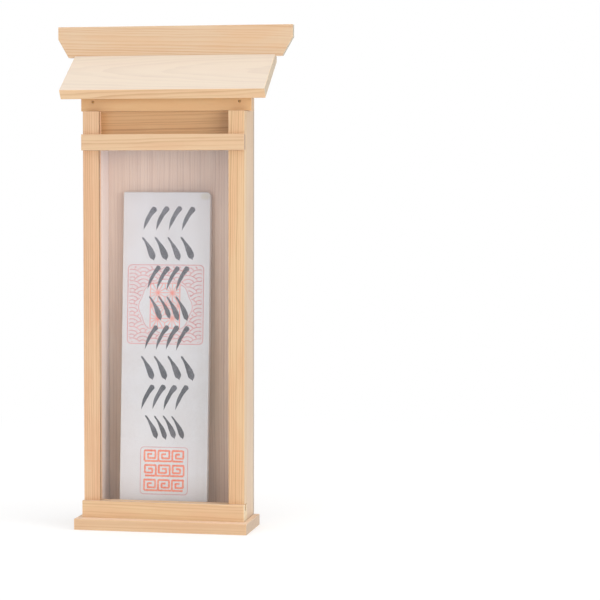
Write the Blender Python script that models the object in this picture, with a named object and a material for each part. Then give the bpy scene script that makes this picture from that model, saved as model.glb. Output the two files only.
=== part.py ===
"""Slim household altar cabinet of plain cypress, with a clear front sheet and a folded-paper talisman inside.

X runs to the viewer's right, Y away from the viewer and Z up. The sizes below are in millimetres, with Y
counted from the front plane of the two posts and Z from the surface that the cabinet stands on. All pieces
hang on one empty, which brings the middle of the footprint to the world origin.
"""

import math

import bmesh
import bpy
from mathutils import Matrix

MM = 0.001

# Play left between pieces that touch, the eased edge of the planed boards, and the depth of the shallow housings
# in which boards stand, so that no joint shows open from the front
GAP = 0.3
EASE = 0.2
HOUSED = 0.5

# Plinth board
BASE_HALF = 66.8
BASE_FRONT, BASE_BACK = -13.3, 36.0
BASE_TOP = 8.3

# Front frame: posts, bottom rail and crossbar
POST_OUT, POST_IN = 62.5, 50.2
POST_DEEP = 7.5
POST_TOP = 316.7
RAIL_HALF = 62.9
RAIL_FRONT = -4.3
RAIL_TOP = 21.0
BAR_FRONT = -3.3
BAR_LOW, BAR_HIGH = 287.2, 299.3
LAP_DEEP = 2.5

# Groove that takes the clear sheet, in the posts and in the bottom rail
GROOVE_FRONT, GROOVE_BACK = 1.3, 3.7
GROOVE_DEEP = 3.0
GROOVE_FLOOR = 16.5
SHEET_TOP = 296.0

# Case behind the posts
SIDE_THICK = 10.0
CASE_BACK = 36.0
TOP_RAIL_HALF = 66.2
TOP_RAIL_FRONT, TOP_RAIL_BACK = 8.2, 17.8
TOP_RAIL_LOW = 317.0
UPPER_FRONT, UPPER_BACK = 10.8, 15.8
UPPER_LOW = 289.0
PANEL_HOUSED = 1.2
BACK_HALF = 60.5
BACK_THICK = 4.5
BACK_LOW = 0.8

# Brads sunk in the top rail
BRAD_X, BRAD_Z = 56.9, 323.9
BRAD_HOLE, BRAD_HEAD, BRAD_SHANK = 1.8, 1.2, 0.8
BRAD_SUNK, BRAD_LONG = 0.3, 7.0

# Sloping roof board and upright ridge board
ROOF_HALF = 79.0
ROOF_SLOPE = math.radians(33.9)
ROOF_THICK = 8.0
EAVE_FRONT, EAVE_TOP = -7.0, 332.4
RIDGE_FRONT, RIDGE_BACK = 35.4, 40.8
RIDGE_LOW, RIDGE_KNEE, RIDGE_TOP = 359.5, 373.7, 383.2
RIDGE_HALF, RIDGE_FOOT_HALF = 92.5, 84.3

# Middle of the whole footprint, front to back
MIDDLE = (BASE_FRONT + RIDGE_BACK) / 2

# Paper talisman, standing on the plinth and leaning on the back panel
PAPER_WIDE, PAPER_HIGH, PAPER_THICK = 69.0, 247.5, 5.6
PAPER_X = -4.3
PAPER_FOOT = 14.0
PAPER_LEAN = math.radians(3.74)


def clear_scene():
    for obj in list(bpy.data.objects):
        bpy.data.objects.remove(obj, do_unlink=True)


def material(name, colour, roughness, clear=False):
    """A Principled material; the clear one lets light through."""
    made = bpy.data.materials.new(name)
    made.use_nodes = True
    shader = made.node_tree.nodes["Principled BSDF"]
    shader.inputs["Base Color"].default_value = (*colour, 1.0)
    shader.inputs["Roughness"].default_value = roughness
    shader.inputs["Metallic"].default_value = 0.0
    if clear:
        shader.inputs["Transmission Weight"].default_value = 1.0
        shader.inputs["IOR"].default_value = 1.49
    return made


def object_from(name, mesh_builder, surface=None):
    mesh = bpy.data.meshes.new(name)
    mesh_builder.to_mesh(mesh)
    mesh_builder.free()
    obj = bpy.data.objects.new(name, mesh)
    bpy.context.scene.collection.objects.link(obj)
    if surface is not None:
        mesh.materials.append(surface)
    return obj


def prism(outline, along, low, high):
    """A straight board: the outline, in the plane across the axis named by along, carried from low to high."""
    place = {
        "X": lambda u, v, w: (w, u, v),
        "Y": lambda u, v, w: (u, w, v),
        "Z": lambda u, v, w: (u, v, w),
    }[along]
    built = bmesh.new()
    face = built.faces.new([built.verts.new([MM * c for c in place(u, v, low)]) for u, v in outline])
    moved = bmesh.ops.extrude_face_region(built, geom=[face])
    travel = [MM * c for c in place(0.0, 0.0, high - low)]
    bmesh.ops.translate(
        built, verts=[v for v in moved["geom"] if isinstance(v, bmesh.types.BMVert)], vec=travel
    )
    bmesh.ops.recalc_face_normals(built, faces=built.faces)
    return built


def box(x, y, z):
    return prism([(x[0], y[0]), (x[1], y[0]), (x[1], y[1]), (x[0], y[1])], "Z", z[0], z[1])


def ease(obj, width=EASE, segments=2):
    """Takes the sharp edges off a planed board."""
    bevel = obj.modifiers.new("eased_edges", "BEVEL")
    bevel.width = width * MM
    bevel.segments = segments
    bevel.limit_method = "ANGLE"
    bevel.angle_limit = math.radians(25)
    bevel.use_clamp_overlap = True
    return obj


def cut(obj, cutter_mesh, name):
    cutter = object_from(name, cutter_mesh)
    cutter.hide_render = True
    cutter.display_type = "WIRE"
    boolean = obj.modifiers.new(name, "BOOLEAN")
    boolean.operation = "DIFFERENCE"
    boolean.solver = "EXACT"
    boolean.object = cutter
    return obj


def drilled(name, x, z, across, front, back):
    """A round peg along Y, used as a drill."""
    peg = bmesh.new()
    bmesh.ops.create_cone(
        peg, cap_ends=True, segments=24, radius1=across / 2 * MM, radius2=across / 2 * MM, depth=(back - front) * MM
    )
    bmesh.ops.rotate(peg, verts=peg.verts, cent=(0, 0, 0), matrix=Matrix.Rotation(math.pi / 2, 3, "X"))
    bmesh.ops.translate(peg, verts=peg.verts, vec=(x * MM, (front + back) / 2 * MM, z * MM))
    return peg


def roof_underside(y):
    """Height of the roof board's underside at this depth."""
    foot_y = EAVE_FRONT + ROOF_THICK * math.sin(ROOF_SLOPE)
    foot_z = EAVE_TOP - ROOF_THICK * math.cos(ROOF_SLOPE)
    return foot_z + (y - foot_y) * math.tan(ROOF_SLOPE)


def roof_top(y):
    return EAVE_TOP + (y - EAVE_FRONT) * math.tan(ROOF_SLOPE)


def make_base(wood):
    """The plinth is housed for the rail and for both side boards."""
    plinth = object_from(
        "base_board", box((-BASE_HALF, BASE_HALF), (BASE_FRONT, BASE_BACK), (0.0, BASE_TOP)), wood
    )
    floor, above, past = BASE_TOP - HOUSED, BASE_TOP + 3.0, BASE_BACK + 3.0
    reach = RAIL_HALF + GAP
    cut(plinth, box((-reach, reach), (RAIL_FRONT - GAP, POST_DEEP + GAP), (floor, above)), "rail_housing")
    inner, outer = POST_OUT - SIDE_THICK - GAP, POST_OUT + GAP
    for name, side in (("side_housing_left", -1), ("side_housing_right", 1)):
        edges = sorted((side * inner, side * outer))
        cut(plinth, box(edges, (POST_DEEP - 1.0, past), (floor, above)), name)
    return ease(plinth)


def make_bottom_rail(wood):
    """The rail carries the groove for the sheet, and a shallow housing at each end for a post."""
    low, back = BASE_TOP - HOUSED + GAP, POST_DEEP
    outline = [
        (RAIL_FRONT, low),
        (back, low),
        (back, RAIL_TOP),
        (GROOVE_BACK, RAIL_TOP),
        (GROOVE_BACK, GROOVE_FLOOR),
        (GROOVE_FRONT, GROOVE_FLOOR),
        (GROOVE_FRONT, RAIL_TOP),
        (RAIL_FRONT, RAIL_TOP),
    ]
    rail = object_from("bottom_rail", prism(outline, "X", -RAIL_HALF, RAIL_HALF), wood)
    for name, side in (("post_housing_left", -1), ("post_housing_right", 1)):
        edges = sorted((side * (POST_IN - GAP), side * (RAIL_HALF + 3.0)))
        cut(rail, box(edges, (-GAP, POST_DEEP + 3.0), (RAIL_TOP - HOUSED, RAIL_TOP + 3.0)), name)
    return ease(rail)


def make_post(name, side, wood):
    """A post with its inner groove, and a lap cut across its front for the crossbar."""
    inner = POST_IN
    outline = [
        (POST_OUT, 0.0),
        (POST_OUT, POST_DEEP),
        (inner, POST_DEEP),
        (inner, GROOVE_BACK),
        (inner + GROOVE_DEEP, GROOVE_BACK),
        (inner + GROOVE_DEEP, GROOVE_FRONT),
        (inner, GROOVE_FRONT),
        (inner, 0.0),
    ]
    post = object_from(
        name, prism([(side * x, y) for x, y in outline], "Z", RAIL_TOP - HOUSED + GAP, POST_TOP), wood
    )
    edges = sorted((side * (POST_IN - 2.0), side * (POST_OUT + 2.0)))
    cut(
        post,
        box(edges, (-2.0, LAP_DEEP), (BAR_LOW, BAR_HIGH)),
        name + "_lap",
    )
    return ease(post)


def make_crossbar(wood):
    """The bar is thinned between the posts, so that it clears the sheet. Its ends are let into the posts, and the
    part in front of them stands a little past the notch above and below."""
    shoulder = POST_IN + GROOVE_DEEP + GAP
    back, lap = GROOVE_FRONT, LAP_DEEP - GAP
    outline = [
        (-RAIL_HALF, BAR_FRONT),
        (RAIL_HALF, BAR_FRONT),
        (RAIL_HALF, lap),
        (shoulder, lap),
        (shoulder, back),
        (-shoulder, back),
        (-shoulder, lap),
        (-RAIL_HALF, lap),
    ]
    bar = object_from("crossbar", prism(outline, "Z", BAR_LOW, BAR_HIGH), wood)
    for end, side in (("left", -1), ("right", 1)):
        edges = sorted((side * (POST_IN - GAP), side * (RAIL_HALF + 3.0)))
        cut(bar, box(edges, (-GAP, LAP_DEEP + 3.0), (BAR_HIGH - GAP, BAR_HIGH + 3.0)), "shoulder_above_" + end)
        cut(bar, box(edges, (-GAP, LAP_DEEP + 3.0), (BAR_LOW - 3.0, BAR_LOW + GAP)), "shoulder_below_" + end)
    return ease(bar)


def make_side(name, side, wood):
    """A side board: its top front corner is notched for the top rail, and its top follows the roof."""
    front = POST_DEEP + GAP
    seat = TOP_RAIL_BACK + GAP
    under = 0.4
    foot = BASE_TOP - HOUSED + GAP
    outline = [
        (front, foot),
        (CASE_BACK, foot),
        (CASE_BACK, roof_underside(CASE_BACK) - under),
        (seat, roof_underside(seat) - under),
        (seat, TOP_RAIL_LOW - GAP),
        (front, TOP_RAIL_LOW - GAP),
    ]
    low, high = sorted((side * (POST_OUT - SIDE_THICK), side * POST_OUT))
    return ease(object_from(name, prism(outline, "X", low, high), wood))


def make_top_rail(wood):
    """Its upper edge is planed to the slope of the roof, and a groove below takes the top of the upper panel."""
    under = 0.4
    outline = [
        (TOP_RAIL_FRONT, TOP_RAIL_LOW),
        (TOP_RAIL_BACK, TOP_RAIL_LOW),
        (TOP_RAIL_BACK, roof_underside(TOP_RAIL_BACK) - under),
        (TOP_RAIL_FRONT, roof_underside(TOP_RAIL_FRONT) - under),
    ]
    rail = object_from("top_rail", prism(outline, "X", -TOP_RAIL_HALF, TOP_RAIL_HALF), wood)
    reach = POST_OUT - SIDE_THICK
    groove = box((-reach, reach), (UPPER_FRONT - GAP, UPPER_BACK + GAP), (TOP_RAIL_LOW - 3.0, TOP_RAIL_LOW + PANEL_HOUSED))
    cut(rail, groove, "panel_groove")
    for name, x in (("hole_left", -BRAD_X), ("hole_right", BRAD_X)):
        depth = TOP_RAIL_FRONT + BRAD_SUNK + BRAD_LONG + GAP
        cut(rail, drilled(name, x, BRAD_Z, BRAD_HOLE, TOP_RAIL_FRONT - 2.0, depth), name)
    return ease(rail)


def make_brad(name, x, brass):
    """A small headed nail, sunk below the face of the top rail."""
    head_front = TOP_RAIL_FRONT + BRAD_SUNK
    head_thick = 0.7
    rings = [
        (0.0, BRAD_HEAD / 2 - 0.12),
        (0.12, BRAD_HEAD / 2),
        (head_thick, BRAD_HEAD / 2),
        (head_thick + 0.3, BRAD_SHANK / 2),
        (BRAD_LONG - 1.2, BRAD_SHANK / 2),
        (BRAD_LONG, 0.12),
    ]
    sides = 20
    nail = bmesh.new()
    loops = []
    for depth, radius in rings:
        loops.append(
            [
                nail.verts.new(
                    (
                        MM * (x + radius * math.cos(math.tau * i / sides)),
                        MM * (head_front + depth),
                        MM * (BRAD_Z + radius * math.sin(math.tau * i / sides)),
                    )
                )
                for i in range(sides)
            ]
        )
    for first, second in zip(loops, loops[1:]):
        for i in range(sides):
            j = (i + 1) % sides
            nail.faces.new((first[i], first[j], second[j], second[i]))
    nail.faces.new(loops[0])
    nail.faces.new(loops[-1])
    bmesh.ops.recalc_face_normals(nail, faces=nail.faces)
    obj = object_from(name, nail, brass)
    obj.data.shade_smooth()
    obj.data.set_sharp_from_angle(angle=math.radians(35))
    return obj


def make_upper_panel(wood):
    half = POST_OUT - SIDE_THICK - GAP
    panel = object_from(
        "upper_panel",
        box((-half, half), (UPPER_FRONT, UPPER_BACK), (UPPER_LOW, TOP_RAIL_LOW + PANEL_HOUSED - GAP)),
        wood,
    )
    return ease(panel)


def make_back_panel(wood):
    front = CASE_BACK + GAP
    back = front + BACK_THICK
    outline = [
        (front, BACK_LOW),
        (back, BACK_LOW),
        (back, roof_underside(back) - 0.4),
        (front, roof_underside(front) - 0.4),
    ]
    return ease(object_from("back_panel", prism(outline, "X", -BACK_HALF, BACK_HALF), wood))


def make_roof(wood):
    """One sloping board: eave cut square to the slope, back cut upright, with a seat for the ridge board."""
    under_y = EAVE_FRONT + ROOF_THICK * math.sin(ROOF_SLOPE)
    wall = RIDGE_FRONT - GAP
    seat = RIDGE_LOW - GAP
    outline = [
        (EAVE_FRONT, EAVE_TOP),
        (under_y, roof_underside(under_y)),
        (RIDGE_BACK, roof_underside(RIDGE_BACK)),
        (RIDGE_BACK, seat),
        (wall, seat),
        (wall, roof_top(wall)),
    ]
    return ease(object_from("roof_board", prism(outline, "X", -ROOF_HALF, ROOF_HALF), wood))


def make_ridge(wood):
    outline = [
        (-RIDGE_HALF, RIDGE_TOP),
        (-RIDGE_HALF, RIDGE_KNEE),
        (-RIDGE_FOOT_HALF, RIDGE_LOW),
        (RIDGE_FOOT_HALF, RIDGE_LOW),
        (RIDGE_HALF, RIDGE_KNEE),
        (RIDGE_HALF, RIDGE_TOP),
    ]
    return ease(object_from("ridge_board", prism(outline, "Y", RIDGE_FRONT, RIDGE_BACK), wood))


def make_sheet(clear):
    half = POST_IN + GROOVE_DEEP - GAP
    sheet = object_from(
        "clear_sheet",
        box((-half, half), (GROOVE_FRONT + GAP, GROOVE_BACK - GAP), (GROOVE_FLOOR + GAP, SHEET_TOP)),
        clear,
    )
    return ease(sheet, width=0.15, segments=1)


def make_talisman(paper):
    """A flat folded packet, leaning back with its foot forward."""
    packet = box((-PAPER_WIDE / 2, PAPER_WIDE / 2), (0.0, PAPER_THICK), (0.0, PAPER_HIGH))
    bmesh.ops.rotate(packet, verts=packet.verts, cent=(0, 0, 0), matrix=Matrix.Rotation(-PAPER_LEAN, 3, "X"))
    lowest = min(v.co.z for v in packet.verts)
    lift = (BASE_TOP + GAP) * MM - lowest
    bmesh.ops.translate(packet, verts=packet.verts, vec=(PAPER_X * MM, PAPER_FOOT * MM, lift))
    return ease(object_from("talisman", packet, paper), width=0.8, segments=2)


def main():
    clear_scene()
    board = {
        name: material(name, colour, roughness)
        for name, colour, roughness in (
            ("cypress_base", (0.74, 0.50, 0.30), 0.55),
            ("cypress_bottom_rail", (0.77, 0.52, 0.31), 0.55),
            ("cypress_posts", (0.78, 0.51, 0.32), 0.55),
            ("cypress_crossbar", (0.79, 0.57, 0.37), 0.55),
            ("cypress_top_rail", (0.72, 0.48, 0.29), 0.55),
            ("cypress_upper_panel", (0.72, 0.50, 0.31), 0.55),
            ("cypress_sides", (0.78, 0.60, 0.45), 0.5),
            ("cypress_back", (0.72, 0.54, 0.42), 0.55),
            ("cypress_roof", (0.82, 0.68, 0.52), 0.5),
            ("cypress_ridge", (0.79, 0.58, 0.38), 0.55),
        )
    }
    brass = material("nail_brass", (0.55, 0.35, 0.16), 0.45)
    brass.node_tree.nodes["Principled BSDF"].inputs["Metallic"].default_value = 1.0
    clear = material("clear_acrylic", (0.98, 0.98, 0.98), 0.02, clear=True)
    paper = material("washi_paper", (0.82, 0.79, 0.77), 0.85)

    cabinet = bpy.data.objects.new("cabinet", None)
    cabinet.location = (0.0, -MIDDLE * MM, 0.0)
    bpy.context.scene.collection.objects.link(cabinet)

    make_base(board["cypress_base"])
    make_bottom_rail(board["cypress_bottom_rail"])
    make_post("stile_left", -1, board["cypress_posts"])
    make_post("stile_right", 1, board["cypress_posts"])
    make_crossbar(board["cypress_crossbar"])
    make_top_rail(board["cypress_top_rail"])
    make_brad("brad_left", -BRAD_X, brass)
    make_brad("brad_right", BRAD_X, brass)
    make_upper_panel(board["cypress_upper_panel"])
    make_side("side_left", -1, board["cypress_sides"])
    make_side("side_right", 1, board["cypress_sides"])
    make_back_panel(board["cypress_back"])
    make_roof(board["cypress_roof"])
    make_ridge(board["cypress_ridge"])
    make_sheet(clear)
    make_talisman(paper)

    for obj in bpy.data.objects:
        if obj is not cabinet:
            obj.parent = cabinet


main()
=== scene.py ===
"""Looks of the slim household altar cabinet: planed cypress boards, a clear front sheet, and a folded-paper
talisman with brushed strokes and stamped frames. Lengths in the design values are millimetres."""

import math
import random

import bmesh  # noqa: E402
import bpy  # noqa: E402
from mathutils import Matrix, Vector, noise  # noqa: E402


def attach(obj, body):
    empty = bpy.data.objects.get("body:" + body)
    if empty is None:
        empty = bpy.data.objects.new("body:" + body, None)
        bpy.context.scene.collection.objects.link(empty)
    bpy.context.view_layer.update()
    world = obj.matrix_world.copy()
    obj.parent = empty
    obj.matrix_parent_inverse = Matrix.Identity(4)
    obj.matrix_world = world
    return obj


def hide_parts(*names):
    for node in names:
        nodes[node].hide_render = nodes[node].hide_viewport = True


MM = 0.001

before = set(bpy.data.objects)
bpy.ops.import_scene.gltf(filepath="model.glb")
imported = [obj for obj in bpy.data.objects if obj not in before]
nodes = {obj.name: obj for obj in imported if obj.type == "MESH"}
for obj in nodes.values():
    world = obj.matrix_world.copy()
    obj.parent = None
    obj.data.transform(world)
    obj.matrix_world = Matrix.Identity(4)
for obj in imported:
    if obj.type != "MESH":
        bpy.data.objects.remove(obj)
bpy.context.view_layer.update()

# The cabinet's own numbers, repeated from its construction (Y counted from the posts' front plane)
MIDDLE = 13.75
ROOF_SLOPE = math.radians(33.9)
PAPER_WIDE, PAPER_HIGH, PAPER_THICK = 69.0, 247.5, 5.6
PAPER_X = -4.3
PAPER_FOOT = 14.0
PAPER_LEAN = math.radians(3.74)
PAPER_FLOOR = 8.6


# ---------------------------------------------------------------- camera

CAMERA_AT = (370.0, -1446.2 - MIDDLE, 255.7)
CAMERA_TURN, CAMERA_DOWN, CAMERA_ROLL = math.radians(10.391), math.radians(3.113), math.radians(0.090)
FOCAL_PIXELS, FRAME_PIXELS = 1976.7, 600.0


def make_camera():
    data = bpy.data.cameras.new("camera")
    data.sensor_width = 36.0
    data.lens = FOCAL_PIXELS / FRAME_PIXELS * data.sensor_width
    data.clip_start, data.clip_end = 0.05, 50.0
    turn, down, roll = CAMERA_TURN, CAMERA_DOWN, CAMERA_ROLL
    ahead = Vector((-math.sin(turn) * math.cos(down), math.cos(turn) * math.cos(down), -math.sin(down)))
    right = Vector((math.cos(turn), math.sin(turn), 0.0))
    up = right.cross(ahead)
    right_rolled = right * math.cos(roll) + up * math.sin(roll)
    up_rolled = up * math.cos(roll) - right * math.sin(roll)
    camera = bpy.data.objects.new("camera", data)
    camera.matrix_world = Matrix(
        (
            (right_rolled.x, up_rolled.x, -ahead.x, CAMERA_AT[0] * MM),
            (right_rolled.y, up_rolled.y, -ahead.y, CAMERA_AT[1] * MM),
            (right_rolled.z, up_rolled.z, -ahead.z, CAMERA_AT[2] * MM),
            (0, 0, 0, 1),
        )
    )
    bpy.context.scene.collection.objects.link(camera)
    bpy.context.scene.camera = camera


# ---------------------------------------------------------------- light and stage

# Broad soft lights round the cabinet, each a patch of sky: name, azimuth (0 in front, 90 on the right), elevation,
# how far from its middle it's at its full strength, where it ends (degrees), strength, and tint
AMBIENT = 0.12
LOBES = (
    ("backdrop", 180.0, 10.0, 45.0, 100.0, 0.08, (1.0, 1.0, 1.0)),
    ("overhead", 0.0, 88.0, 25.0, 65.0, 0.987, (1.0, 1.0, 1.0)),
    ("front_over", 0.0, 66.0, 15.0, 50.0, 0.514, (1.0, 1.0, 1.0)),
    ("right_wide", 78.0, 10.0, 10.0, 30.0, 3.857, (1.0, 1.0, 1.0)),
    ("right_level", 52.0, -4.0, 6.0, 25.0, 4.469, (1.0, 1.0, 1.0)),
    ("right_low", 34.0, -4.0, 8.0, 26.0, 0.421, (1.0, 1.0, 1.0)),
    ("left_wide", -65.0, 22.0, 15.0, 50.0, 0.15, (1.0, 1.0, 1.0)),
    ("front_left", -14.5, 9.0, 5.0, 20.0, 1.0, (1.06, 0.73, 0.24)),
    ("veil_near", -19.0, 9.0, 5.0, 20.0, 1.0, (0.0, 0.0, 0.271)),
    ("veil_level", -19.0, 1.0, 5.0, 18.0, 1.0, (0.0, 0.29, 0.43)),
    ("veil_far", -26.0, 8.0, 6.0, 20.0, 1.0, (0.9, 1.1, 1.6)),
)


def make_world():
    world = bpy.data.worlds.new("studio")
    bpy.context.scene.world = world
    world.use_nodes = True
    tree = world.node_tree
    tree.nodes.clear()
    out = tree.nodes.new("ShaderNodeOutputWorld")
    seen = tree.nodes.new("ShaderNodeBackground")
    seen.inputs["Color"].default_value = (1, 1, 1, 1)
    seen.inputs["Strength"].default_value = 1.0
    lit = tree.nodes.new("ShaderNodeBackground")
    where = tree.nodes.new("ShaderNodeTexCoord")
    total = tree.nodes.new("ShaderNodeCombineXYZ")
    for socket in total.inputs:
        socket.default_value = AMBIENT
    total = total.outputs[0]
    for name, azimuth, elevation, full, none, strength, tint in LOBES:
        a, e = math.radians(azimuth), math.radians(elevation)
        towards = tree.nodes.new("ShaderNodeVectorMath")
        towards.operation = "DOT_PRODUCT"
        tree.links.new(where.outputs["Generated"], towards.inputs[0])
        towards.inputs[1].default_value = (math.sin(a) * math.cos(e), -math.cos(a) * math.cos(e), math.sin(e))
        spread = tree.nodes.new("ShaderNodeMapRange")
        spread.name = name
        spread.interpolation_type = "SMOOTHSTEP"
        spread.inputs["From Min"].default_value = math.cos(math.radians(none))
        spread.inputs["From Max"].default_value = math.cos(math.radians(full))
        spread.inputs["To Min"].default_value = 0.0
        spread.inputs["To Max"].default_value = strength
        tree.links.new(towards.outputs["Value"], spread.inputs["Value"])
        scaled = tree.nodes.new("ShaderNodeVectorMath")
        scaled.operation = "SCALE"
        scaled.inputs[0].default_value = tint
        tree.links.new(spread.outputs["Result"], scaled.inputs["Scale"])
        add = tree.nodes.new("ShaderNodeVectorMath")
        add.operation = "ADD"
        tree.links.new(total, add.inputs[0])
        tree.links.new(scaled.outputs[0], add.inputs[1])
        total = add.outputs[0]
    tree.links.new(total, lit.inputs["Color"])
    ray = tree.nodes.new("ShaderNodeLightPath")
    mix = tree.nodes.new("ShaderNodeMixShader")
    tree.links.new(ray.outputs["Is Camera Ray"], mix.inputs["Fac"])
    tree.links.new(lit.outputs[0], mix.inputs[1])
    tree.links.new(seen.outputs[0], mix.inputs[2])
    tree.links.new(mix.outputs[0], out.inputs["Surface"])


def make_stage():
    """A pale floor that fades into the white of the backdrop away from the cabinet."""
    mesh = bpy.data.meshes.new("floor")
    mesh.from_pydata([(-4, -1.2, 0), (4, -1.2, 0), (4, 5, 0), (-4, 5, 0)], [], [(0, 1, 2, 3)])
    floor = bpy.data.objects.new("floor", mesh)
    floor.location.z = -0.0002
    bpy.context.scene.collection.objects.link(floor)
    g = Graph("pale_floor")
    away = g.node("VectorMath", operation="LENGTH")
    g.put(away.inputs[0], g.node("TexCoord").outputs["Object"])
    fade = g.smooth(away.outputs["Value"], 0.18, 0.75)
    g.put(g.shader.inputs["Base Color"], g.mix(fade, (0.64, 0.64, 0.64, 1), (0, 0, 0, 1)))
    g.shader.inputs["Emission Color"].default_value = (1, 1, 1, 1)
    g.put(g.shader.inputs["Emission Strength"], g.math("MULTIPLY_ADD", fade, 0.595, 0.405))
    g.shader.inputs["Roughness"].default_value = 0.95
    g.shader.inputs["Specular IOR Level"].default_value = 0.0
    # in the clear sheet's reflection the floor has no edge, but melts into the light behind it
    melted = g.node("MixShader")
    reflected = g.node("LightPath").outputs["Is Glossy Ray"]
    g.put(melted.inputs["Fac"], g.math("MULTIPLY", reflected, g.smooth(away.outputs["Value"], 0.3, 1.1)))
    g.put(melted.inputs[1], g.shader.outputs[0])
    g.put(melted.inputs[2], g.node("BsdfTransparent").outputs[0])
    g.put(g.tree.nodes["Material Output"].inputs["Surface"], melted.outputs[0])
    mesh.materials.append(g.material)


# ---------------------------------------------------------------- node helper


def linear(r, g, b):
    """An sRGB colour of 0 to 255 as the linear one that shaders take."""

    def one(c):
        c /= 255.0
        return c / 12.92 if c <= 0.04045 else ((c + 0.055) / 1.055) ** 2.4

    return (one(r), one(g), one(b), 1.0)


class Graph:
    """A few short names for building a material's nodes."""

    def __init__(self, name):
        self.material = bpy.data.materials.new(name)
        self.material.use_nodes = True
        self.tree = self.material.node_tree
        self.shader = self.tree.nodes["Principled BSDF"]

    def node(self, kind, **settings):
        made = self.tree.nodes.new("ShaderNode" + kind)
        for key, value in settings.items():
            setattr(made, key, value)
        return made

    def put(self, socket, value):
        if isinstance(value, bpy.types.NodeSocket):
            self.tree.links.new(value, socket)
        else:
            socket.default_value = value

    def math(self, operation, *values, clamp=False):
        made = self.node("Math", operation=operation, use_clamp=clamp)
        for socket, value in zip(made.inputs, values):
            self.put(socket, value)
        return made.outputs[0]

    def smooth(self, value, low, high, to_low=0.0, to_high=1.0):
        made = self.node("MapRange", interpolation_type="SMOOTHSTEP")
        for key, v in (("Value", value), ("From Min", low), ("From Max", high), ("To Min", to_low), ("To Max", to_high)):
            self.put(made.inputs[key], v)
        return made.outputs["Result"]

    def spread(self, value, low, high, to_low, to_high):
        made = self.node("MapRange", interpolation_type="LINEAR", clamp=True)
        for key, v in (("Value", value), ("From Min", low), ("From Max", high), ("To Min", to_low), ("To Max", to_high)):
            self.put(made.inputs[key], v)
        return made.outputs["Result"]

    def vector(self, x, y, z):
        made = self.node("CombineXYZ")
        for socket, value in zip(made.inputs, (x, y, z)):
            self.put(socket, value)
        return made.outputs[0]

    def noise(self, place, detail=2.0, roughness=0.5, scale=1.0):
        made = self.node("TexNoise", noise_dimensions="3D")
        self.put(made.inputs["Vector"], place)
        made.inputs["Scale"].default_value = scale
        made.inputs["Detail"].default_value = detail
        made.inputs["Roughness"].default_value = roughness
        return made.outputs["Fac"]

    def chance(self, value):
        made = self.node("TexWhiteNoise", noise_dimensions="1D")
        self.put(made.inputs["W"], value)
        return made.outputs["Value"]

    def mix(self, share, first, second, blend="MIX"):
        made = self.node("Mix", data_type="RGBA", blend_type=blend, clamp_factor=True)
        self.put(made.inputs[0], share)
        self.put(made.inputs[6], first)
        self.put(made.inputs[7], second)
        return made.outputs[2]

    def bump(self, height, strength=1.0):
        """Height in millimetres."""
        made = self.node("Bump")
        made.inputs["Strength"].default_value = strength
        made.inputs["Distance"].default_value = MM
        self.put(made.inputs["Height"], height)
        return made.outputs["Normal"]


# ---------------------------------------------------------------- planed cypress


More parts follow.
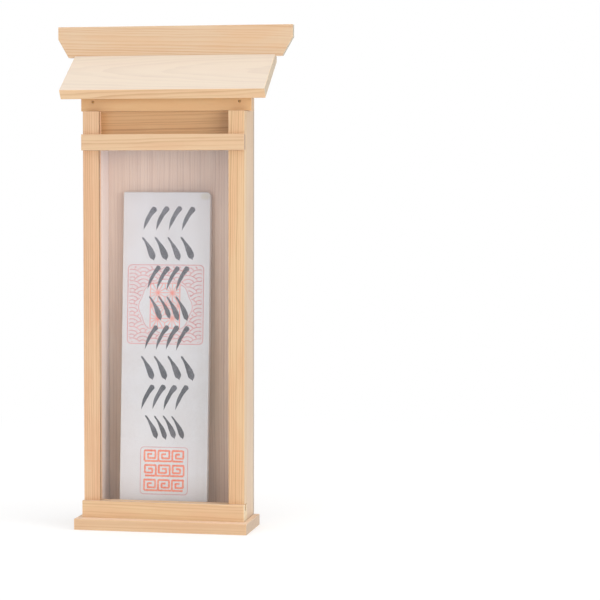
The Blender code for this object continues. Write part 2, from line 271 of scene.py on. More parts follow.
def cypress(
    name,
    mesh_object,
    grain,
    pith,
    spacing,
    early,
    early_warm,
    late,
    contrast,
    tilt=(0.0, 0.0),
    bow=0.0,
    warp=1.5,
    streaks=0.5,
    fibre=0.5,
    seed=0.0,
    slope=0.0,
    roughness=0.52,
    sharp=(0.35, 0.92),
    sheen=0.3,
    pale_top=None,
    arris=0.3,
    ends=None,
    raw=None,
    raw_share=0.9,
    back_edge=None,
    turned=(),
):
    """Conifer wood in three dimensions. Growth rings lie round a pith line along the grain, so a board shows
    straight lines, arches or end rings according to how it was sawn. pith is where that line passes, across the
    grain; tilt and bow are how it runs out of the board along its length."""
    g = Graph(name)
    place = g.node("TexCoord")
    split = g.node("SeparateXYZ")
    g.put(split.inputs[0], place.outputs["Object"])
    x, y, z = (g.math("MULTIPLY", split.outputs[i], 1000.0) for i in range(3))
    y = g.math("ADD", y, MIDDLE)
    facing = g.node("SeparateXYZ")
    g.put(facing.inputs[0], place.outputs["Normal"])
    c, s = math.cos(slope), math.sin(slope)
    if slope:
        y, z = (
            g.math("ADD", g.math("MULTIPLY", y, c), g.math("MULTIPLY", z, s)),
            g.math("SUBTRACT", g.math("MULTIPLY", z, c), g.math("MULTIPLY", y, s)),
        )
    u, v, w = {"X": (y, z, x), "Y": (x, z, y), "Z": (x, y, z)}[grain]
    along = {"X": 0, "Y": 1, "Z": 2}[grain]

    # how far the growth lines wander
    wander = g.noise(
        g.vector(
            g.math("MULTIPLY_ADD", u, 0.03, seed),
            g.math("MULTIPLY_ADD", v, 0.03, seed * 1.7),
            g.math("MULTIPLY_ADD", w, 0.006, seed * 0.3),
        ),
        detail=2.0,
    )
    ripple = g.noise(
        g.vector(
            g.math("MULTIPLY_ADD", u, 0.25, seed),
            g.math("MULTIPLY_ADD", v, 0.25, seed),
            g.math("MULTIPLY_ADD", w, 0.03, seed),
        ),
        detail=1.0,
    )
    shift = g.math(
        "ADD",
        g.math("MULTIPLY_ADD", wander, 2.0 * warp, -warp),
        g.math("MULTIPLY_ADD", ripple, 0.5 * spacing, -0.25 * spacing),
    )
    bent = g.math("MULTIPLY", g.math("MULTIPLY", w, w), bow)
    across_u = g.math("SUBTRACT", g.math("MULTIPLY_ADD", w, tilt[0], u), pith[0])
    across_v = g.math("SUBTRACT", g.math("ADD", g.math("MULTIPLY_ADD", w, tilt[1], v), bent), pith[1])
    radius = g.math(
        "SQRT", g.math("ADD", g.math("MULTIPLY", across_u, across_u), g.math("MULTIPLY", across_v, across_v))
    )
    radius = g.math("ADD", radius, shift)
    uneven = g.noise(g.vector(g.math("MULTIPLY_ADD", radius, 0.16, seed), seed, 0.0), detail=1.0)
    count = g.math("ADD", g.math("DIVIDE", radius, spacing), g.math("MULTIPLY_ADD", uneven, 2.4, -1.2))
    share = g.math("FRACT", count)
    ring = g.math(
        "MULTIPLY",
        g.smooth(share, sharp[0], sharp[1]),
        g.smooth(share, 0.94, 1.0, 1.0, 0.0),
    )
    weight = g.spread(g.chance(g.math("FLOOR", count)), 0.0, 1.0, 0.35, 1.0)
    late_wood = g.math("MULTIPLY", ring, weight)

    # fibres, broad tone streaks and warmer patches
    fibres = g.noise(
        g.vector(
            g.math("MULTIPLY_ADD", u, 4.0, seed),
            g.math("MULTIPLY_ADD", v, 4.0, seed),
            g.math("MULTIPLY_ADD", w, 0.10, seed),
        ),
        detail=3.0,
        roughness=0.62,
    )
    pores = g.noise(
        g.vector(
            g.math("MULTIPLY_ADD", u, 11.0, seed),
            g.math("MULTIPLY_ADD", v, 11.0, seed),
            g.math("MULTIPLY_ADD", w, 0.55, seed),
        ),
        detail=2.0,
        roughness=0.6,
    )
    broad = g.noise(
        g.vector(
            g.math("MULTIPLY_ADD", u, 0.32, seed * 2.1),
            g.math("MULTIPLY_ADD", v, 0.32, seed * 1.3),
            g.math("MULTIPLY_ADD", w, 0.006, seed),
        ),
        detail=2.0,
        roughness=0.55,
    )
    patches = g.noise(
        g.vector(
            g.math("MULTIPLY_ADD", u, 0.10, seed * 0.9),
            g.math("MULTIPLY_ADD", v, 0.10, seed * 1.9),
            g.math("MULTIPLY_ADD", w, 0.018, seed),
        ),
        detail=2.0,
    )
    ground = g.mix(g.smooth(patches, 0.36, 0.64), early, early_warm)
    amount = g.math("MULTIPLY", late_wood, contrast)
    amount = g.math("ADD", amount, g.math("MULTIPLY_ADD", broad, streaks, -0.5 * streaks))
    amount = g.math("ADD", amount, g.math("MULTIPLY_ADD", fibres, fibre * 0.8, -0.4 * fibre), clamp=True)
    colour = g.mix(amount, ground, late)
    grit = g.smooth(pores, 0.62, 0.78)
    colour = g.mix(g.math("MULTIPLY", grit, 0.10 * fibre + 0.02), colour, tuple(0.55 * c for c in late[:3]) + (1.0,))

    painted_face_share = 0.0
    for face in turned:  # painted light: the face that looks one way gets its own lighter or darker copy of the wood colours, for how light falls on it
        way, face_light_early, face_light_late, face_light_warm = (*face, face[1])[:4]
        towards = g.math("MULTIPLY", facing.outputs["XYZ".index(way[1])], -1.0 if way[0] == "-" else 1.0)
        painted_face_share = g.smooth(towards, 0.5, 0.75)
        face_light_ground = g.mix(g.smooth(patches, 0.36, 0.64), face_light_early, face_light_warm)
        colour = g.mix(painted_face_share, colour, g.mix(amount, face_light_ground, face_light_late))
    if pale_top:  # painted light: an upper face is painted paler, for the light from above and its sheen
        up = g.smooth(facing.outputs[2], 0.5, 0.75)
        colour = g.mix(g.math("MULTIPLY", up, pale_top[0]), colour, pale_top[1])

    # sawn ends drink in light: darker, with rings and open pores
    cut_end = g.smooth(g.math("ABSOLUTE", facing.outputs[along]), 0.55, 0.9)
    if ends is None:
        ends = (
            (0.76 * early[0], 0.80 * early[1], 0.90 * early[2], 1.0),
            (0.66 * late[0], 0.68 * late[1], 0.74 * late[2], 1.0),
        )
    end_wood = g.mix(g.math("MULTIPLY_ADD", late_wood, 0.45, g.math("MULTIPLY", grit, 0.25)), *ends)
    colour = g.mix(cut_end, colour, end_wood)

    # the planed arris is a little worn and smoother, and painted paler as a highlight where the edges catch the light,
    # unevenly
    corners = [Vector(p.co) * 1000.0 for p in mesh_object.data.vertices]
    corners = [(p.x, (p.y + MIDDLE) * c + p.z * s, p.z * c - (p.y + MIDDLE) * s) for p in corners]
    gaps = []
    for i, value in enumerate((x, y, z)):
        low, high = min(p[i] for p in corners), max(p[i] for p in corners)
        gaps.append(g.math("MINIMUM", g.math("SUBTRACT", value, low), g.math("SUBTRACT", high, value)))
    first, second, third = gaps
    nearest_edge = g.math(
        "MAXIMUM", g.math("MINIMUM", first, second), g.math("MINIMUM", g.math("MAXIMUM", first, second), third)
    )
    ragged = g.math("ADD", nearest_edge, g.math("MULTIPLY_ADD", pores, 0.6, -0.3))
    worn_and_lit_edge = g.math("MULTIPLY", g.smooth(ragged, 0.2, 0.9, 1.0, 0.0), g.smooth(patches, 0.30, 0.62, 0.45, 1.0))
    colour = g.mix(g.math("MULTIPLY", worn_and_lit_edge, arris), colour, tuple(min(1.12 * v, 1.0) for v in early[:3]) + (1.0,))

    if back_edge:  # darker and greyer towards the back edge
        back_darkening = g.math("MULTIPLY", g.smooth(y, *back_edge[0]), back_edge[1])
        back_darkening = g.math("MULTIPLY", back_darkening, g.math("SUBTRACT", 1.0, painted_face_share))
        colour = g.mix(back_darkening, colour, back_edge[2])
    if raw:  # painted shade: the saw cut of a groove is painted dark brown, for the shade inside it
        inside = 1.0
        for value, (least, most) in zip((g.math("ABSOLUTE", x), y, z), raw):
            begins = g.smooth(value, least - 0.03, least + 0.07)
            stops = g.smooth(value, most - 0.07, most + 0.03, 1.0, 0.0)
            inside = g.math("MULTIPLY", inside, g.math("MULTIPLY", begins, stops))
        colour = g.mix(g.math("MULTIPLY", inside, raw_share), colour, linear(84, 52, 28))

    shine = g.math("MULTIPLY_ADD", fibres, 0.16, roughness - 0.08)
    shine = g.math("SUBTRACT", shine, g.math("MULTIPLY", worn_and_lit_edge, 0.08))
    shine = g.math("ADD", shine, g.math("MULTIPLY", cut_end, 0.2))
    height = g.math("MULTIPLY", late_wood, 0.012)
    height = g.math("MULTIPLY_ADD", fibres, 0.02, height)
    height = g.math("SUBTRACT", height, g.math("MULTIPLY", grit, 0.012))
    g.put(g.shader.inputs["Base Color"], colour)
    g.put(g.shader.inputs["Roughness"], shine)
    g.put(g.shader.inputs["Normal"], g.bump(height))
    if sheen:
        g.shader.inputs["Sheen Weight"].default_value = sheen
        g.shader.inputs["Sheen Roughness"].default_value = 0.4
    return g.material


def dress(node, material, smooth=True):
    obj = nodes[node]
    obj.data.materials.clear()
    obj.data.materials.append(material)
    if smooth:
        weld = obj.modifiers.new("weld", "WELD")
        weld.merge_threshold = 1e-6
        even = obj.modifiers.new("even_faces", "WEIGHTED_NORMAL")
        even.keep_sharp = False


def dress_boards():
    def board(node, grain, early, early_warm, late, **design):
        values = dict(contrast=0.45, spacing=1.7, pith=(0.0, 0.0))
        values.update(design, early=linear(*early), early_warm=linear(*early_warm), late=linear(*late))
        dress(node, cypress("cypress_" + node, nodes[node], grain, **values))

    board(
        "base_board",
        "X",
        (220, 184, 144),
        (218, 178, 138),
        (183, 131, 88),
        pith=(-60.0, 160.0),
        spacing=2.6,
        seed=1.3,
        contrast=0.34,
        # painted light: the base's top face is painted paler, as lit from above
        pale_top=(0.6, linear(249, 213, 179)),
        ends=(linear(183, 157, 130), linear(149, 120, 97)),
    )
    board(
        "bottom_rail",
        "X",
        (228, 195, 151),
        (226, 188, 146),
        (187, 137, 91),
        pith=(20.0, -190.0),
        spacing=2.8,
        seed=2.9,
        contrast=0.34,
        tilt=(0.0, 0.012),
        ends=(linear(215, 195, 160), linear(189, 157, 120)),
        # painted shade in the groove along the rail's top
        raw=((0.0, 70.0), (1.35, 3.65), (16.0, 20.9)),
    )
    # painted shade in the posts' grooves for the clear sheet
    slot = ((50.25, 53.5), (1.22, 3.78), (20.0, 320.0))
    board(
        "stile_left",
        "Z",
        (227, 188, 148),
        (225, 180, 140),
        (183, 131, 86),
        pith=(-420.0, 60.0),
        spacing=1.75,
        seed=4.1,
        warp=0.8,
        tilt=(0.004, 0.0),
        contrast=0.62,
        arris=0.12,
        raw=slot,
        raw_share=0.65,
        # painted shade: the post's outer side face is painted darker than its front
        turned=(("-X", linear(207, 179, 142), linear(166, 126, 84)),),
    )
    board(
        "stile_right",
        "Z",
        (229, 193, 149),
        (227, 185, 141),
        (185, 135, 88),
        pith=(-420.0, -90.0),
        spacing=1.9,
        seed=5.7,
        warp=1.6,
        tilt=(-0.006, 0.0),
        contrast=0.62,
        arris=0.12,
        raw=slot,
        raw_share=0.65,
        # painted shade: the post's outer side face is painted darker than its front
        turned=(("+X", linear(207, 179, 142), linear(166, 126, 84)),),
    )
    board(
        "crossbar",
        "X",
        (225, 190, 150),
        (223, 183, 143),
        (181, 127, 81),
        pith=(120.0, 90.0),
        spacing=2.8,
        seed=6.3,
        contrast=0.36,
        tilt=(0.0, -0.02),
        ends=(linear(173, 142, 114), linear(130, 94, 68)),
    )
    board(
        "top_rail",
        "X",
        (232, 192, 140),
        (230, 186, 134),
        (194, 138, 85),
        pith=(-160.0, 300.0),
        spacing=2.4,
        seed=7.7,
        contrast=0.18,
        streaks=0.2,
        arris=0.0,
        ends=(linear(188, 161, 131), linear(147, 117, 90)),
    )
    board(
        "upper_panel",
        "X",
        (220, 177, 127),
        (218, 172, 122),
        (181, 128, 81),
        pith=(-40.0, 40.0),
        spacing=2.3,
        seed=8.9,
        contrast=0.6,
        tilt=(0.0, -0.02),
    )
    sides = dict(sheen=0.5, spacing=2.2, back_edge=((30.6, 32.4), 0.65, linear(142, 126, 110)))
    # painted light: the sides' inner faces are painted paler, for the sheen they show inside the case
    inside = (linear(234, 211, 197), linear(195, 164, 145))
    for node, pith, towards, contrast, seed in (
        ("side_left", (-40.0, 260.0), "+X", 0.25, 10.1),
        ("side_right", (60.0, 280.0), "-X", 0.2, 11.9),
    ):
        board(
            node,
            "Z",
            (199, 171, 138),
            (195, 164, 131),
            (165, 132, 100),
            pith=pith,
            seed=seed,
            contrast=contrast,
            turned=((towards, *inside),),
            **sides,
        )
    board(
        "back_panel",
        "Z",
        (204, 174, 141),
        (200, 167, 133),
        (168, 131, 96),
        pith=(-380.0, 120.0),
        spacing=2.1,
        seed=12.7,
        contrast=0.42,
        warp=3.0,
        streaks=0.9,
        fibre=1.0,
        # painted light: the back's inside face is painted paler than its other faces
        turned=(("-Y", linear(233, 207, 184), linear(185, 145, 118), linear(229, 200, 176)),),
    )
    board(
        "roof_board",
        "X",
        (231, 196, 154),
        (229, 190, 148),
        (189, 138, 92),
        pith=(207.0, 252.2),
        tilt=(0.0, -0.045),
        spacing=2.7,
        warp=2.6,
        seed=14.3,
        contrast=0.52,
        slope=ROOF_SLOPE,
        streaks=0.35,
        fibre=0.4,
        # painted reflection: the roof's sloping top is painted paler, for the sheen of light from above
        pale_top=(0.62, linear(222, 217, 207)),
        ends=(linear(182, 165, 141), linear(148, 128, 106)),
    )
    board(
        "ridge_board",
        "X",
        (225, 195, 160),
        (225, 189, 150),
        (199, 140, 92),
        pith=(160.0, 120.0),
        spacing=2.3,
        seed=15.1,
        contrast=0.6,
        warp=2.0,
        tilt=(0.0, 0.03),
        arris=0.12,
        ends=(linear(175, 164, 144), linear(150, 132, 112)),
    )


# ---------------------------------------------------------------- clear sheet and nails


def dress_sheet():
    g = Graph("clear_acrylic")
    shader = g.shader
    shader.inputs["Base Color"].default_value = (1.0, 1.0, 1.0, 1.0)
    shader.inputs["Transmission Weight"].default_value = 1.0
    shader.inputs["IOR"].default_value = 1.49
    shader.inputs["Roughness"].default_value = 0.0
    dress("clear_sheet", g.material, smooth=False)
    nodes["clear_sheet"].visible_shadow = False
    nodes["clear_sheet"].visible_diffuse = False


def dress_nails():
    g = Graph("nail_brass")
    place = g.node("TexCoord").outputs["Object"]
    wear = g.noise(place, detail=3.0, scale=2600.0)
    g.put(g.shader.inputs["Base Color"], g.mix(g.smooth(wear, 0.4, 0.65), (0.84, 0.50, 0.17, 1), (0.97, 0.62, 0.24, 1)))
    g.put(g.shader.inputs["Roughness"], g.spread(wear, 0.3, 0.7, 0.5, 0.72))
    g.shader.inputs["Metallic"].default_value = 1.0
    g.put(g.shader.inputs["Normal"], g.bump(g.math("MULTIPLY", wear, 0.02)))
    for node in ("brad_left", "brad_right"):
        dress(node, g.material, smooth=False)


# ---------------------------------------------------------------- talisman of folded paper

LEAN_SIN, LEAN_COS = math.sin(PAPER_LEAN), math.cos(PAPER_LEAN)
PAPER_Z = PAPER_FLOOR + PAPER_THICK * LEAN_SIN
HALF = PAPER_WIDE / 2
EDGE_ROUND = 0.6  # of the folds down both sides
FOLD_LINE = 25.5  # from the middle to the crease beside the right-hand margin
CORNER_ROUND = 3.2  # of the soft upper corner on the right


def on_packet(u, w, out):
    """The point u to the right of the packet's middle, w up its front from the foot, and out in front of it."""
    return (
        (PAPER_X + u) * MM,
        (PAPER_FOOT - MIDDLE + w * LEAN_SIN - out * LEAN_COS) * MM,
        (PAPER_Z + w * LEAN_COS + out * LEAN_SIN) * MM,
    )


def bell(x, width):
    return math.exp(-((x / width) ** 2))


def ease(x, low, high):
    t = min(max((x - low) / (high - low), 0.0), 1.0)
    return t * t * (3 - 2 * t)


def front_relief(u, w):
    """How far the front sheet stands back from the packet's front plane: it's soft paper, creased near one side."""
    waves = noise.noise(Vector((u * 0.045, w * 0.014, 4.0))) * 0.5 + 0.5
    small = noise.noise(Vector((u * 0.16, w * 0.10, 9.0)))
    crease = FOLD_LINE + 0.5 * math.sin(w * 0.02)
    return -(
        0.10
        + 0.28 * waves
        + 0.05 * small
        + 0.09 * bell(u - crease, 0.55)
        + 0.14 * ease(u, crease, crease + 5.0)
        - 0.12 * bell(u - (HALF - 2.2), 1.2)
    )


def new_piece(name, points, faces, material, smooth=True):
    mesh = bpy.data.meshes.new(name)
    mesh.from_pydata(points, [], faces)
    mesh.validate()
    if smooth:
        mesh.polygons.foreach_set("use_smooth", [True] * len(mesh.polygons))
    mesh.materials.append(material)
    piece = bpy.data.objects.new(name, mesh)
    bpy.context.scene.collection.objects.link(piece)
    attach(piece, "root")
    return piece


def make_packet(material):
    across, arc = 64, 6
    rows = [0.0, 0.12, 0.4, 0.8, 1.4, 2.5] + [4.0 + i * 1.9 for i in range(126)]
    rows = [r for r in rows if r < PAPER_HIGH - 3.0]
    rows += [PAPER_HIGH - r for r in (3.0, 2.2, 1.4, 0.8, 0.4, 0.12, 0.0)]
    points, loops = [], []
    for w in rows:
        to_end = min(w, PAPER_HIGH - w)
        round_end = 0.7
        inset = 0.0
        if to_end < round_end:
            inset = round_end - math.sqrt(max(round_end**2 - (round_end - to_end) ** 2, 0.0))
        from_top = PAPER_HIGH - w
        soft = 0.0
        if from_top < CORNER_ROUND:
            soft = CORNER_ROUND - math.sqrt(CORNER_ROUND**2 - (CORNER_ROUND - from_top) ** 2)
            soft = min(soft, CORNER_ROUND * 0.8)
        taper = 0.45 * ease(w, 120.0, PAPER_HIGH)  # it was folded a touch narrower towards its top
        left, right = -HALF + inset * 0.5, HALF - inset * 0.5 - soft - taper
        thick = PAPER_THICK - 0.12
        section = []
        lo, hi = left + EDGE_ROUND, right - EDGE_ROUND
        for i in range(across + 1):
            u = lo + (hi - lo) * i / across
            section.append((u, front_relief(u, w) - inset))
        start = front_relief(hi, w) - inset
        for i in range(1, arc + 1):
            a = math.pi / 2 * i / arc
            section.append((hi + EDGE_ROUND * math.sin(a), start - EDGE_ROUND * (1 - math.cos(a))))
        for i in range(1, 5):  # layers of paper show down the side
            depth = start - EDGE_ROUND - (thick - 2 * EDGE_ROUND + start) * i / 5
            section.append((right - (0.07 if i % 2 else 0.0), depth))
        for i in range(arc + 1):
            a = math.pi / 2 * i / arc
            section.append((hi + EDGE_ROUND * math.cos(a), -thick + inset + EDGE_ROUND * (1 - math.sin(a))))
        for i in range(1, across):
            u = hi + (lo - hi) * i / across
            flap = 0.25 * ease(u, -6.0, -5.2)  # the wrap's free edge, a little in front of the one beneath
            section.append((u, -thick + inset + 0.25 - flap))
        for i in range(arc + 1):
            a = math.pi / 2 * i / arc
            section.append((lo - EDGE_ROUND * math.sin(a), -thick + inset + EDGE_ROUND * (1 - math.cos(a))))
        start = front_relief(lo, w) - inset
        for i in range(1, 5):
            depth = -thick + EDGE_ROUND + (thick - 2 * EDGE_ROUND + start) * i / 5
            section.append((left + (0.07 if i % 2 else 0.0), depth))
        for i in range(arc):
            a = math.pi / 2 * i / arc
            section.append((lo - EDGE_ROUND * math.cos(a), start - EDGE_ROUND * (1 - math.sin(a))))
        loops.append([len(points) + i for i in range(len(section))])
        points += [on_packet(u, w, out) for u, out in section]
    faces = []
    for below, above in zip(loops, loops[1:]):
        n = len(below)
        faces += [(below[i], below[(i + 1) % n], above[(i + 1) % n], above[i]) for i in range(n)]
    faces.append(tuple(reversed(loops[0])))
    faces.append(tuple(loops[-1]))
    packet = new_piece("talisman_packet", points, faces, material)
    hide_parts("talisman")
    return packet


class Marks:
    """Brushed or stamped marks, each a low ridge of colour on the front sheet."""

    def __init__(self, rise):
        self.points, self.faces, self.rise = [], [], rise

    def ribbon(self, line, halves, closed=False):
        """line is the middle of the mark as (u, w), halves its half widths there."""
        n = len(line)
        first = len(self.points)
        for i, ((u, w), half) in enumerate(zip(line, halves)):
            before = line[(i - 1) % n] if closed or i else line[0]
            after = line[(i + 1) % n] if closed or i < n - 1 else line[-1]
            du, dw = after[0] - before[0], after[1] - before[1]
            size = math.hypot(du, dw) or 1.0
            nu, nw = -dw / size, du / size
            for side, rise in ((-1.0, 0.0), (-0.6, 0.8), (0.0, 1.0), (0.6, 0.8), (1.0, 0.0)):
                pu, pw = u + nu * half * side, w + nw * half * side
                self.points.append(on_packet(pu, pw, front_relief(pu, pw) + 0.012 + rise * self.rise))
        steps = n if closed else n - 1
        for i in range(steps):
            a, b = first + 5 * i, first + 5 * ((i + 1) % n)
            for k in range(4):
                self.faces.append((a + k + 1, a + k, b + k, b + k + 1))

    def build(self, name, material):
        return new_piece(name, self.points, self.faces, material)


def brush_mark(marks, start, end, width, bow, kind, rng):
    """One mark of the brush from start to end, each (u, w), bowed to its left by bow. A sweep lifts off to a point,
    and a press grows heavy towards its end."""
    steps = 26
    du, dw = end[0] - start[0], end[1] - start[1]
    length = math.hypot(du, dw)
    nu, nw = -dw / length, du / length
    phase = rng.uniform(0, 50)
    line, halves = [], []
    for i in range(steps + 1):
        t = i / steps
        off = bow * 4 * t * (1 - t) + 0.12 * noise.noise(Vector((phase, t * 4.0, 3.0)))
        line.append((start[0] + du * t + nu * off, start[1] + dw * t + nw * off))
        near_start = min(t * length / (0.42 * width), 1.0)
        begin = math.sqrt(max(1 - (1 - near_start) ** 2, 0.0))
        if kind == "sweep":
            swell = begin * (1 - t**2.2) * (1.0 - 0.22 * bell(t - 0.35, 0.2))
        else:
            swell = begin * (0.34 + 0.66 * ease(t, 0.12, 0.72)) * (1 - ease(t, 0.80, 1.0) ** 1.5)
        rough = 1 + 0.10 * noise.noise(Vector((phase + 9, t * length * 0.5, 0.0)))
        halves.append(max(width / 2 * swell * rough, 0.04))
    marks.ribbon(line, halves)


def make_brushwork(material):
    """Eight rows of brushed strokes that lean to one side and the other by turns, as a herringbone: a pattern, and
    no writing."""
    rng = random.Random(23)
    marks = Marks(0.045)
    low, high, space = 57.0, 237.6, 2.2
    # left and right end of each row from the top, strokes in it, and the brush's width
    rows = (
        (-20.0, 23.0, 4, 4.7),
        (-21.0, 22.0, 4, 4.9),
        (-16.0, 19.0, 4, 4.1),
        (-14.5, 18.0, 4, 4.0),
        (-17.0, 19.5, 4, 4.2),
        (-20.5, 23.5, 4, 4.8),
        (-19.5, 19.5, 4, 4.4),
        (-16.5, 16.5, 4, 4.1),
    )
    tall = (high - low - space * (len(rows) - 1)) / len(rows)
    lean = 0.46 * tall
    for row, (left, right, count, width) in enumerate(rows):
        top = high - row * (tall + space)
        pitch = (right - left - lean - 0.6 * width) / (count - 1)
        for k in range(count):
            begin = left + 0.3 * width + k * pitch + rng.uniform(-0.35, 0.35)
            wide = width * rng.uniform(0.92, 1.08)
            start_w = top - 0.3 * width - rng.uniform(0.0, 0.7)
            end_w = top - tall * rng.uniform(0.93, 1.0)
            if row % 2 == 0:  # from the upper right down to the left, lifted off to a point
                brush_mark(marks, (begin + lean, start_w), (begin, end_w), wide, -1.3, "sweep", rng)
            else:  # from the upper left down to the right, pressed towards its end
                brush_mark(marks, (begin, start_w), (begin + lean, end_w), wide, 1.1, "press", rng)
    return marks.build("brushed_marks", material)


def rounded_frame(half_wide, half_high, centre, radius, step=1.0):
    """Points round a rectangle with round corners."""
    cu, cw = centre
    line = []
    for k, (su, sw) in enumerate(((1, 1), (-1, 1), (-1, -1), (1, -1))):
        mid = (cu + su * (half_wide - radius), cw + sw * (half_high - radius))
        for i in range(7):
            a = math.pi / 2 * (k + i / 6)
            line.append((mid[0] + radius * math.cos(a), mid[1] + radius * math.sin(a)))
        nxt = ((-1, 1), (-1, -1), (1, -1), (1, 1))[k]
        end = (cu + nxt[0] * (half_wide - radius), cw + nxt[1] * (half_high - radius))
        a = math.pi / 2 * (k + 1)
        first = line[-1]
        last = (end[0] + radius * math.cos(a), end[1] + radius * math.sin(a))
        count = max(int(math.dist(first, last) / step), 1)
        for i in range(1, count):
            line.append((first[0] + (last[0] - first[0]) * i / count, first[1] + (last[1] - first[1]) * i / count))
    return line


def uneven(line, half, seed, share=0.16):
    """Stamped lines take colour unevenly."""
    return [half * (1 + share * noise.noise(Vector((u * 0.9, w * 0.9, seed)))) for u, w in line]


LARGE_MIDDLE, LARGE_HALF = (-0.3, 161.2), (29.8, 30.3)
WINDOW_MIDDLE, WINDOW_SIZE = (-0.3, 159.4), 20.6


def window_edge(angle):
    return WINDOW_SIZE + 0.6 * math.cos(8 * angle)


def make_wave_stamp(material):
    """A stamped square of wave scales round an eight-lobed clear middle."""
    marks = Marks(0.02)
    frame_line = rounded_frame(*LARGE_HALF, LARGE_MIDDLE, 3.4)
    marks.ribbon(frame_line, uneven(frame_line, 0.26, 1.0), closed=True)
    ring = []
    for i in range(160):
        a = 2 * math.pi * i / 160
        r = window_edge(a)
        ring.append((WINDOW_MIDDLE[0] + r * math.cos(a), WINDOW_MIDDLE[1] + r * math.sin(a)))
    marks.ribbon(ring, uneven(ring, 0.22, 2.0), closed=True)

    big = 8.8
    inner_half = (LARGE_HALF[0] - 1.3, LARGE_HALF[1] - 1.3)

    def inside(u, w):
        du, dw = abs(u - LARGE_MIDDLE[0]), abs(w - LARGE_MIDDLE[1])
        if du > inner_half[0] or dw > inner_half[1]:
            return False
        if du > inner_half[0] - 2.4 and dw > inner_half[1] - 2.4:
            if math.hypot(du - inner_half[0] + 2.4, dw - inner_half[1] + 2.4) > 2.4:
                return False
        au, aw = u - WINDOW_MIDDLE[0], w - WINDOW_MIDDLE[1]
        return math.hypot(au, aw) > window_edge(math.atan2(aw, au)) + 0.9

    rows = int(2 * LARGE_HALF[1] / (big / 2)) + 4
    for row in range(rows):
        cw = LARGE_MIDDLE[1] - LARGE_HALF[1] - big + row * big / 2
        for col in range(-3, 4):
            cu = LARGE_MIDDLE[0] + col * 2 * big + (big if row % 2 else 0.0)
            front = ((cu - big, cw - big / 2), (cu + big, cw - big / 2), (cu, cw - big))
            for share in (1.0, 0.67, 0.34):
                radius = big * share - 0.12
                run = []
                for i in range(61):
                    a = math.radians(3.0 * i)
                    u, w = cu + radius * math.cos(a), cw + radius * math.sin(a)
                    seen = inside(u, w) and all(math.dist((u, w), c) > big + 0.05 for c in front)
                    if seen:
                        run.append((u, w))
                    if (not seen or i == 60) and run:
                        if len(run) > 2:
                            marks.ribbon(run, uneven(run, 0.27, 3.0, 0.4))
                        run = []
    return marks.build("stamp_of_waves", material)


def make_leaf_stamp(material):
    """A small upright panel of hemp-leaf lattice in the middle of the wave stamp."""
    marks = Marks(0.02)
    cu, cw = WINDOW_MIDDLE[0] - 0.3, WINDOW_MIDDLE[1] + 0.9
    half_u, half_w, edge = 11.6, 17.2, 11.4
    rise = edge * math.sqrt(3) / 2

    def stroke(a, b, half):
        """The part of the line from a to b that lies in the panel."""
        inside = []
        for i in range(41):
            t = i / 40
            u, w = a[0] + (b[0] - a[0]) * t, a[1] + (b[1] - a[1]) * t
            if abs(u - cu) <= half_u - 0.5 and abs(w - cw) <= half_w - 0.5:
                inside.append((u, w))
        if len(inside) > 3:
            marks.ribbon(inside[::4] + [inside[-1]], uneven(inside[::4] + [inside[-1]], half, 5.0, 0.3))

    for row in range(-4, 5):
        for col in range(-4, 5):
            u = cu + edge * (col + (0.5 if row % 2 else 0.0))
            w = cw + rise * row
            right, above, beside = (u + edge, w), (u + edge / 2, w + rise), (u - edge / 2, w + rise)
            for end in (right, above, beside):
                stroke((u, w), end, 0.30)
            for triangle in (((u, w), right, above), ((u, w), above, beside)):
                middle = (sum(q[0] for q in triangle) / 3, sum(q[1] for q in triangle) / 3)
                for corner in triangle:
                    stroke(corner, middle, 0.27)
    border = rounded_frame(half_u, half_w, (cu, cw), 1.0)
    marks.ribbon(border, uneven(border, 0.34, 6.0, 0.25), closed=True)
    return marks.build("stamp_of_hemp_leaf", material)


SMALL_MIDDLE, SMALL_HALF = (0.4, 33.7), (18.6, 18.0)


def make_fret_frame(material):
    marks = Marks(0.02)
    frame_line = rounded_frame(*SMALL_HALF, SMALL_MIDDLE, 2.6)
    marks.ribbon(frame_line, uneven(frame_line, 0.26, 7.0), closed=True)
    return marks.build("stamp_frame_lower", material)


def make_fret_stamp(material):
    """Three running frets inside the lower frame."""
    marks = Marks(0.03)
    pitch, wide, half = 1.95, 1.86, 0.72

    def run(corners):
        line = []
        for a, b in zip(corners, corners[1:]):
            count = max(int(math.dist(a, b) / 0.35), 1)
            line += [(a[0] + (b[0] - a[0]) * i / count, a[1] + (b[1] - a[1]) * i / count) for i in range(count)]
        line.append(corners[-1])
        soft = []
        for i, (u, w) in enumerate(line):
            near = line[max(i - 1, 0) : i + 2]
            soft.append((sum(q[0] for q in near) / len(near), sum(q[1] for q in near) / len(near)))
        marks.ribbon(soft, uneven(soft, half, 8.0, 0.45))

    for row in range(3):
        low = SMALL_MIDDLE[1] + (row - 1) * 5.75 * pitch - 2.0 * pitch
        turn = -1 if row == 1 else 1
        for col in range(3):
            middle = SMALL_MIDDLE[0] + turn * (col - 1) * 5.9 * wide
            shape = ((-2.45, 0), (-2.45, 4.1), (2.2, 4.1), (2.2, 1.15), (-0.95, 1.15), (-0.95, 2.75), (0.9, 2.75))
            run([(middle + turn * x * wide, low + y * pitch) for x, y in shape])
            if col < 2:
                run([(middle + turn * x * wide, low + y * pitch) for x, y in ((-2.45, 0.0), (3.45, 0.0))])
            else:
                run([(middle + turn * x * wide, low + y * pitch) for x, y in ((-2.45, 0.0), (2.2, 0.0))])
    return marks.build("stamp_of_frets", material)


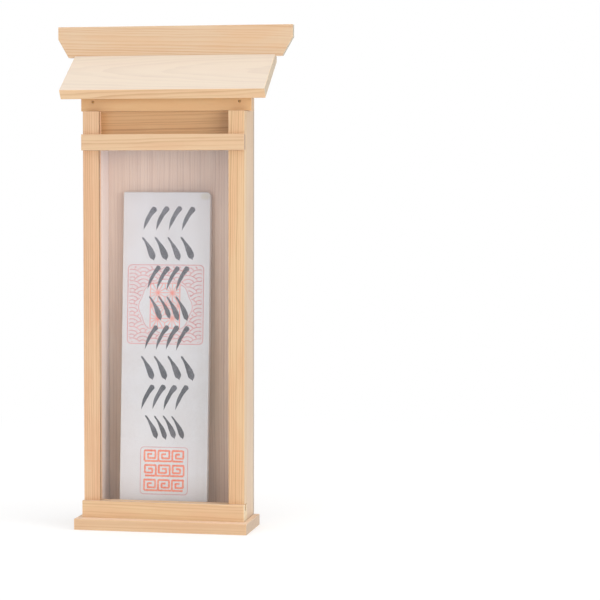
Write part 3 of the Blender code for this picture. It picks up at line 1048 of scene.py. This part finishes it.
def washi():
    """Soft handmade paper: long fibres, cloudy thickness, a little darker over the margin beyond the crease, with
    painted light in places.
    """
    g = Graph("washi")
    place = g.node("TexCoord")
    split = g.node("SeparateXYZ")
    g.put(split.inputs[0], place.outputs["Object"])
    x, y, z = (g.math("MULTIPLY", split.outputs[i], 1000.0) for i in range(3))
    spot = g.vector(x, y, z)
    clouds = g.noise(spot, detail=3.0, scale=0.06)
    mottle = g.noise(spot, detail=4.0, roughness=0.6, scale=0.55)
    twist = g.math("MULTIPLY", g.noise(spot, detail=1.0, scale=0.05), 9.0)
    threads = g.noise(
        g.vector(g.math("MULTIPLY_ADD", x, 2.2, twist), y, g.math("MULTIPLY_ADD", z, 0.35, twist)), detail=2.0
    )
    cross = g.noise(
        g.vector(g.math("MULTIPLY_ADD", x, 0.4, twist), y, g.math("MULTIPLY_ADD", z, 2.4, twist)), detail=2.0
    )
    fibres = g.math("MAXIMUM", g.smooth(threads, 0.60, 0.72), g.smooth(cross, 0.61, 0.73))
    base = g.mix(g.smooth(clouds, 0.35, 0.65), linear(212, 209, 209), linear(215, 213, 214))
    base = g.mix(g.math("MULTIPLY", fibres, 0.35), base, linear(221, 222, 220))
    base = g.mix(g.math("MULTIPLY", g.smooth(mottle, 0.45, 0.75), 0.22), base, linear(196, 191, 187))
    u = g.math("SUBTRACT", x, PAPER_X)
    margin = g.math(
        "MULTIPLY", g.smooth(u, FOLD_LINE - 1.5, FOLD_LINE + 1.0), g.smooth(u, HALF - 3.2, HALF - 1.4, 1.0, 0.0)
    )
    base = g.mix(g.math("MULTIPLY", margin, 0.08), base, linear(198, 194, 185))
    # painted light: it's painted a little paler to the upper right and at the foot on the left
    upper_right = g.math("MULTIPLY", g.smooth(u, 4.0, 24.0), g.smooth(z, 70.0, 230.0, 0.0, 0.5))
    lower_left = g.math("MULTIPLY", g.smooth(u, -10.0, 12.0, 1.0, 0.0), g.smooth(z, 80.0, 112.0, 0.3, 0.0))
    base = g.mix(g.math("ADD", upper_right, lower_left), base, linear(229, 227, 227))
    corner = g.math(
        "ADD",
        g.math("POWER", g.math("DIVIDE", g.math("SUBTRACT", u, HALF - 4.5), 5.0), 2.0),
        g.math("POWER", g.math("DIVIDE", g.math("SUBTRACT", z, PAPER_Z + PAPER_HIGH * LEAN_COS - 3.5), 3.5), 2.0),
    )
    stained = g.math("MULTIPLY", g.smooth(corner, 0.1, 1.0, 1.0, 0.0), g.smooth(mottle, 0.35, 0.6, 0.3, 0.7))
    base = g.mix(stained, base, linear(206, 199, 178))
    # the red of the stamp's fine lines has bled a little into the paper round its clear middle
    w = g.math("DIVIDE", g.math("SUBTRACT", z, PAPER_Z), LEAN_COS)
    from_u = g.math("SUBTRACT", u, LARGE_MIDDLE[0])
    from_w = g.math("SUBTRACT", w, LARGE_MIDDLE[1])
    bled = g.math(
        "MULTIPLY",
        g.smooth(g.math("ABSOLUTE", from_u), LARGE_HALF[0] - 0.8, LARGE_HALF[0] + 0.6, 1.0, 0.0),
        g.smooth(g.math("ABSOLUTE", from_w), LARGE_HALF[1] - 0.8, LARGE_HALF[1] + 0.6, 1.0, 0.0),
    )
    from_middle = g.math("SUBTRACT", w, WINDOW_MIDDLE[1])
    reach = g.math("SQRT", g.math("ADD", g.math("MULTIPLY", from_u, from_u), g.math("MULTIPLY", from_middle, from_middle)))
    bled = g.math("MULTIPLY", bled, g.smooth(reach, WINDOW_SIZE - 0.6, WINDOW_SIZE + 1.6))
    face = g.node("SeparateXYZ")
    g.put(face.inputs[0], place.outputs["Normal"])
    bled = g.math("MULTIPLY", bled, g.smooth(face.outputs[1], -0.8, -0.5, 1.0, 0.0))
    base = g.mix(g.math("MULTIPLY", bled, g.spread(mottle, 0.3, 0.7, 0.08, 0.32)), base, linear(220, 170, 167))
    # painted highlight: the paper is painted paler over the rounded folds down both sides
    side = g.smooth(g.math("ABSOLUTE", u), HALF - 1.6, HALF - 0.3)
    base = g.mix(g.math("MULTIPLY", side, 0.35), base, linear(225, 225, 222))
    g.put(g.shader.inputs["Base Color"], base)
    g.put(g.shader.inputs["Roughness"], g.spread(mottle, 0.3, 0.7, 0.78, 0.92))
    height = g.math("ADD", g.math("MULTIPLY", mottle, 0.03), g.math("MULTIPLY", fibres, 0.015))
    g.put(g.shader.inputs["Normal"], g.bump(height))
    g.shader.inputs["Sheen Weight"].default_value = 0.15
    return g.material


def mark_ink(name, deep, thin, thin_share, paper_share, roughness, grain=1.4):
    """Ink on paper: denser and thinner patches, with the sheet's fibres showing where it is thin."""
    g = Graph(name)
    place = g.node("VectorMath", operation="SCALE")
    g.put(place.inputs[0], g.node("TexCoord").outputs["Object"])
    place.inputs["Scale"].default_value = 1000.0
    spot = place.outputs[0]
    dense = g.noise(spot, detail=3.0, scale=0.13)
    fine = g.noise(spot, detail=3.0, roughness=0.65, scale=grain)
    colour = g.mix(g.math("MULTIPLY", g.smooth(dense, 0.35, 0.68), thin_share), deep, thin)
    colour = g.mix(g.math("MULTIPLY", g.smooth(fine, 0.52, 0.72), paper_share), colour, linear(211, 208, 207))
    g.put(g.shader.inputs["Base Color"], colour)
    g.put(g.shader.inputs["Roughness"], g.spread(fine, 0.3, 0.7, roughness - 0.1, roughness + 0.1))
    g.put(g.shader.inputs["Normal"], g.bump(g.math("MULTIPLY", fine, 0.02)))
    return g.material


def make_talisman():
    make_packet(washi())
    make_brushwork(mark_ink("brush_ink", linear(79, 76, 80), linear(106, 103, 108), 0.9, 0.12, 0.62))
    pink = mark_ink("stamp_pink", linear(206, 128, 127), linear(222, 156, 153), 0.9, 0.2, 0.8)
    orange = mark_ink("stamp_orange", linear(234, 124, 92), linear(237, 152, 124), 0.85, 0.2, 0.8)
    rose = mark_ink("stamp_rose", linear(230, 136, 120), linear(232, 164, 150), 0.9, 0.25, 0.8)
    line_red = mark_ink("stamp_line", linear(204, 144, 145), linear(216, 168, 168), 0.9, 0.25, 0.8)
    make_wave_stamp(pink)
    make_leaf_stamp(rose)
    make_fret_frame(line_red)
    make_fret_stamp(orange)


# ---------------------------------------------------------------- build

make_camera()
make_world()
make_stage()
dress_boards()
dress_sheet()
dress_nails()

make_talisman()

scene = bpy.context.scene
scene.view_settings.view_transform = "Standard"
scene.view_settings.look = "None"
scene.view_settings.exposure = 0.0
scene.view_settings.gamma = 1.0
